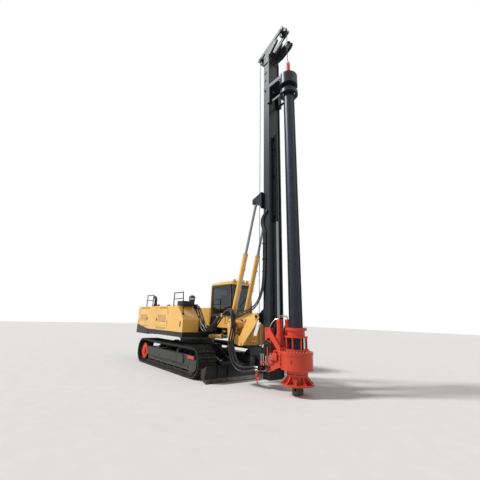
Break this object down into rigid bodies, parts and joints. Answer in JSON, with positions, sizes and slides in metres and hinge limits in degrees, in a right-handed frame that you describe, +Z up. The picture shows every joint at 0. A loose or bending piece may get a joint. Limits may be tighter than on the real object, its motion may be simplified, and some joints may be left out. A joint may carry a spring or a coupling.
{
  "type": "rotary piling rig",
  "caption": "Crawler drilling rig with slewing body and cab, parallel-link boom, hinged box mast, rotary drive with crowd cylinder, and a telescopic kelly bar.",
  "frame": {"origin": "on the ground, under the middle of the overall length and width", "axes": "+X forward towards the kelly bar, +Y to the machine's left (cab side), +Z up along the mast"},
  "size_m": [8.26, 2.5, 11.48],
  "materials": {
    "yellow_paint": "satin",
    "black_paint": "satin",
    "grey_green_paint": "matt",
    "red_paint": "satin",
    "chrome_rod": "polished",
    "bare_steel": "worn",
    "track_steel": "worn",
    "window_glass": "clear",
    "seat_vinyl": "matt"
  },
  "bodies": {
    "undercarriage": {"carbody": "grey_green_paint", "slew_ring": "bare_steel", "track_frames": "grey_green_paint", "track_right": "track_steel", "track_left": "track_steel", "track_wheels": "bare_steel", "track_caps": "red_paint"},
    "blade": {"front_blade": "black_paint"},
    "blade_barrel": {"blade_barrels": "grey_green_paint"},
    "blade_rod": {"blade_rods": "chrome_rod"},
    "upper": {"deck": "black_paint", "counterweight": "black_paint", "centre_cover": "black_paint", "right_hood": "yellow_paint", "left_hood": "yellow_paint", "engine_block": "bare_steel", "tanks": "grey_green_paint", "cab_shell": "yellow_paint", "cab_glass": "window_glass", "cab_seat": "seat_vinyl", "handrails": "yellow_paint", "filter_box": "black_paint"},
    "hood_door_front": {"hood_door_front": "yellow_paint"},
    "hood_door_rear": {"hood_door_rear": "yellow_paint"},
    "cab_door": {"cab_door": "yellow_paint", "door_glass": "window_glass"},
    "boom": {"boom": "yellow_paint"},
    "link": {"link": "black_paint"},
    "luff_barrel": {"luff_barrels": "yellow_paint"},
    "luff_rod": {"luff_rods": "chrome_rod"},
    "carrier": {"mast_carrier": "yellow_paint"},
    "mast_barrel": {"mast_cyl_barrels": "yellow_paint"},
    "mast_rod": {"mast_cyl_rods": "chrome_rod"},
    "mast": {"mast": "black_paint", "cathead": "black_paint", "crowd_barrel": "black_paint", "winch_frame": "black_paint", "aux_hook": "red_paint"},
    "sheave_front": {"sheave_front": "grey_green_paint"},
    "sheave_rear": {"sheave_rear": "grey_green_paint"},
    "sheave_aux": {"sheave_aux": "grey_green_paint"},
    "winch_drum": {"winch_drum": "grey_green_paint"},
    "drive": {"drive_carriage": "red_paint", "drive_gearbox": "red_paint", "drive_motors": "red_paint", "crowd_rod": "chrome_rod"},
    "drive_sleeve": {"drive_sleeve": "red_paint"},
    "kelly_guide": {"kelly_guide": "black_paint"},
    "kelly_tube": {"kelly_tube": "bare_steel"},
    "inner_kelly": {"inner_kelly": "bare_steel"},
    "swivel": {"swivel": "red_paint"}
  },
  "joints": [
    {"name": "slew", "type": "hinge", "parent": "undercarriage", "child": "upper", "pos_m": [-1.01, 0, 0.99], "axis": [0, 0, 1], "continuous": true},
    {"name": "blade_lift", "type": "hinge", "parent": "undercarriage", "child": "blade", "pos_m": [-0.01, 0, 0.48], "axis": [0, -1, 0], "range_deg": [0, 15]},
    {"name": "blade_barrel_tilt", "type": "hinge", "parent": "undercarriage", "child": "blade_barrel", "pos_m": [-0.105, 0, 0.74], "axis": [0, -1, 0], "range_deg": [-0.5, 12.96]},
    {"name": "blade_rod_slide", "type": "slide", "parent": "blade_barrel", "child": "blade_rod", "axis": [0.9348, 0, -0.3551], "range_m": [-0.0615, 0.002]},
    {"name": "luff", "type": "hinge", "parent": "upper", "child": "boom", "pos_m": [0.27, 0, 1.44], "axis": [0, -1, 0], "range_deg": [0, 40]},
    {"name": "link_swing", "type": "hinge", "parent": "upper", "child": "link", "pos_m": [0.27, 0, 1.1], "axis": [0, -1, 0], "range_deg": [-0.5, 40.5]},
    {"name": "luff_barrel_tilt", "type": "hinge", "parent": "upper", "child": "luff_barrel", "pos_m": [0.22, 0, 1.06], "axis": [0, -1, 0], "range_deg": [-0.5, 34.67]},
    {"name": "luff_rod_slide", "type": "slide", "parent": "luff_barrel", "child": "luff_rod", "axis": [0.998, 0, 0.0635], "range_m": [-0.002, 0.2333]},
    {"name": "carrier_level", "type": "hinge", "parent": "boom", "child": "carrier", "pos_m": [1.49, 0, 1.44], "axis": [0, -1, 0], "range_deg": [-40.5, 0.5]},
    {"name": "mast_tilt", "type": "hinge", "parent": "carrier", "child": "mast", "pos_m": [2.67, 0, 1.7], "axis": [0, -1, 0], "range_deg": [-3, 90]},
    {"name": "mast_barrel_tilt", "type": "hinge", "parent": "carrier", "child": "mast_barrel", "pos_m": [1.41, 0, 1.62], "axis": [0, -1, 0], "range_deg": [-4.19, 111.08]},
    {"name": "mast_rod_slide", "type": "slide", "parent": "mast_barrel", "child": "mast_rod", "axis": [0.2927, 0, 0.9562], "range_m": [-1.4951, 0.0518]},
    {"name": "hood_door_front_open", "type": "hinge", "parent": "upper", "child": "hood_door_front", "pos_m": [-1.062, -1.23, 1.33], "axis": [0, 0, 1], "range_deg": [0, 90]},
    {"name": "hood_door_rear_open", "type": "hinge", "parent": "upper", "child": "hood_door_rear", "pos_m": [-3.748, -1.23, 1.33], "axis": [0, 0, -1], "range_deg": [0, 90]},
    {"name": "cab_door_open", "type": "hinge", "parent": "upper", "child": "cab_door", "pos_m": [-0.358, 1.23, 1.23], "axis": [0, 0, 1], "range_deg": [0, 90]},
    {"name": "sheave_front_turn", "type": "hinge", "parent": "mast", "child": "sheave_front", "pos_m": [3.565, 0, 11.305], "axis": [0, 1, 0], "continuous": true},
    {"name": "sheave_rear_turn", "type": "hinge", "parent": "mast", "child": "sheave_rear", "pos_m": [2.515, 0, 10.85], "axis": [0, 1, 0], "continuous": true},
    {"name": "sheave_aux_turn", "type": "hinge", "parent": "mast", "child": "sheave_aux", "pos_m": [3.53, 0.275, 10.89], "axis": [0, 1, 0], "continuous": true},
    {"name": "winch_turn", "type": "hinge", "parent": "mast", "child": "winch_drum", "pos_m": [2.47, 0, 0.62], "axis": [0, 1, 0], "continuous": true},
    {"name": "crowd", "type": "slide", "parent": "mast", "child": "drive", "axis": [0, 0, 1], "range_m": [0, 2.4]},
    {"name": "drive_turn", "type": "hinge", "parent": "drive", "child": "drive_sleeve", "pos_m": [3.74, 0, 0.54], "axis": [0, 0, 1], "continuous": true},
    {"name": "guide_slide", "type": "slide", "parent": "mast", "child": "kelly_guide", "axis": [0, 0, 1], "range_m": [0, 0.9]},
    {"name": "kelly_turn", "type": "hinge", "parent": "kelly_guide", "child": "kelly_tube", "pos_m": [3.74, 0, 9], "axis": [0, 0, 1], "continuous": true},
    {"name": "kelly_extend", "type": "slide", "parent": "kelly_tube", "child": "inner_kelly", "axis": [0, 0, 1], "range_m": [-8, 0]},
    {"name": "swivel_turn", "type": "hinge", "parent": "inner_kelly", "child": "swivel", "pos_m": [3.74, 0, 9.37], "axis": [0, 0, 1], "continuous": true}
  ],
  "couplings": [
    {"joint": "blade_barrel_tilt", "follows": "blade_lift", "ratio": 0.83085},
    {"joint": "blade_rod_slide", "follows": "blade_lift", "m_per_rad": -0.22715},
    {"joint": "link_swing", "follows": "luff", "ratio": 1},
    {"joint": "luff_barrel_tilt", "follows": "luff", "ratio": 0.85413},
    {"joint": "luff_rod_slide", "follows": "luff", "m_per_rad": 0.33133},
    {"joint": "carrier_level", "follows": "luff", "ratio": -1},
    {"joint": "mast_barrel_tilt", "follows": "mast_tilt", "ratio": 1.2287},
    {"joint": "mast_rod_slide", "follows": "mast_tilt", "m_per_rad": -0.95052},
    {"joint": "kelly_turn", "follows": "drive_turn", "ratio": 1}
  ]
}
